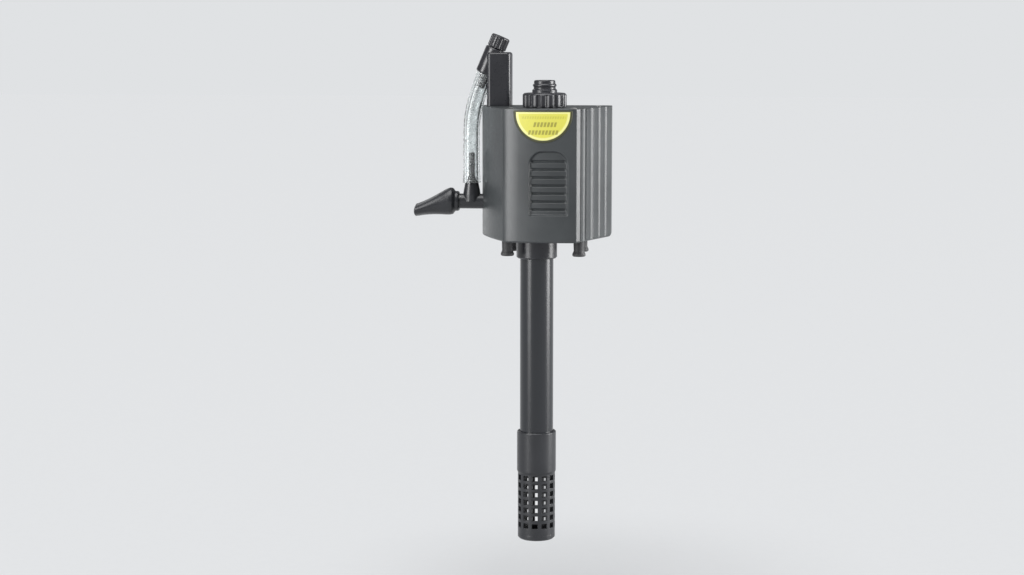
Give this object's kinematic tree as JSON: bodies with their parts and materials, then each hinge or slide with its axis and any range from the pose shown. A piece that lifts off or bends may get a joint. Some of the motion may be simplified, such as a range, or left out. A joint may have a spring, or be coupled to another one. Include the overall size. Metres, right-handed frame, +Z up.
{
  "type": "submersible filter pump",
  "caption": "Submersible aquarium filter pump with a sliding front cover, a venturi outlet with airline and duckbill nozzle, and a suction tube with a strainer.",
  "frame": {"origin": "centre of the four suction cups' contact plane, half-way up the casing", "axes": "+Z up along the suction tube, +Y towards the glass, front cover faces -Y, outlet to -X"},
  "size_m": [0.0945, 0.0571, 0.2438],
  "materials": {
    "casing_plastic": "fine moulded texture, semi-matte",
    "cover_plastic": "fine moulded texture, semi-matte",
    "label_print": "printed vinyl",
    "dark_plastic": "smooth, semi-gloss",
    "tube_plastic": "extruded, semi-gloss",
    "strainer_plastic": "moulded, semi-gloss",
    "valve_plastic": "smooth",
    "clear_hose": "clear silicone",
    "foot_rubber": "soft rubber",
    "cup_rubber": "soft rubber",
    "screw_steel": "stainless",
    "motor_plastic": "moulded",
    "resin": "cast epoxy",
    "core_steel": "laminated steel",
    "copper_wire": "enamelled wire",
    "magnet": "sintered ferrite",
    "bearing_ceramic": "polished",
    "bush_rubber": "soft rubber"
  },
  "bodies": {
    "housing": {"rear_housing": "casing_plastic", "top_lid": "casing_plastic", "intake_collar": "dark_plastic", "valve_bracket": "dark_plastic", "suction_bracket": "dark_plastic", "outlet_tee": "dark_plastic", "gland_nut": "dark_plastic", "gland_body": "dark_plastic", "air_valve_body": "valve_plastic", "air_barb": "valve_plastic", "airline_hose": "clear_hose", "rubber_feet": "foot_rubber", "gland_seal": "foot_rubber", "volute_seal": "foot_rubber", "suction_cups": "cup_rubber", "lid_screws": "screw_steel", "bracket_screws": "screw_steel", "volute_screws": "screw_steel", "motor_case": "motor_plastic", "motor_can": "motor_plastic", "volute_case": "motor_plastic", "volute_cover": "motor_plastic", "coil_bobbin_front": "motor_plastic", "coil_bobbin_rear": "motor_plastic", "potting": "resin", "stator_core": "core_steel", "winding_front": "copper_wire", "winding_rear": "copper_wire", "ceramic_shaft": "bearing_ceramic", "upper_bush": "bush_rubber", "lower_bush": "bush_rubber"},
    "rotor": {"rotor_magnet": "magnet", "impeller": "motor_plastic", "thrust_washer": "bearing_ceramic"},
    "cover": {"front_cover": "cover_plastic", "front_label": "label_print"},
    "nozzle": {"duckbill_nozzle": "dark_plastic"},
    "tube": {"suction_tube": "tube_plastic"},
    "strainer": {"strainer_basket": "strainer_plastic", "strainer_cap": "strainer_plastic"},
    "knob": {"air_valve_knob": "valve_plastic"}
  },
  "joints": [
    {"name": "rotor_spin", "type": "hinge", "parent": "housing", "child": "rotor", "pos_m": [-0.004, -0.032, 0], "axis": [0, 0, 1], "continuous": true},
    {"name": "cover_slide", "type": "slide", "parent": "housing", "child": "cover", "axis": [0, 0, 1], "range_m": [0, 0.066]},
    {"name": "nozzle_turn", "type": "hinge", "parent": "housing", "child": "nozzle", "pos_m": [-0.0462, -0.0227, -0.01475], "axis": [1, 0, 0], "continuous": true},
    {"name": "tube_pull", "type": "slide", "parent": "housing", "child": "tube", "axis": [0, 0, -1], "range_m": [0, 0.012]},
    {"name": "strainer_pull", "type": "slide", "parent": "tube", "child": "strainer", "axis": [0, 0, -1], "range_m": [0, 0.02]},
    {"name": "valve_turn", "type": "hinge", "parent": "housing", "child": "knob", "pos_m": [-0.02955, -0.0227, 0.04644], "axis": [0.3907, 0, 0.9205], "range_deg": [0, 270]}
  ]
}
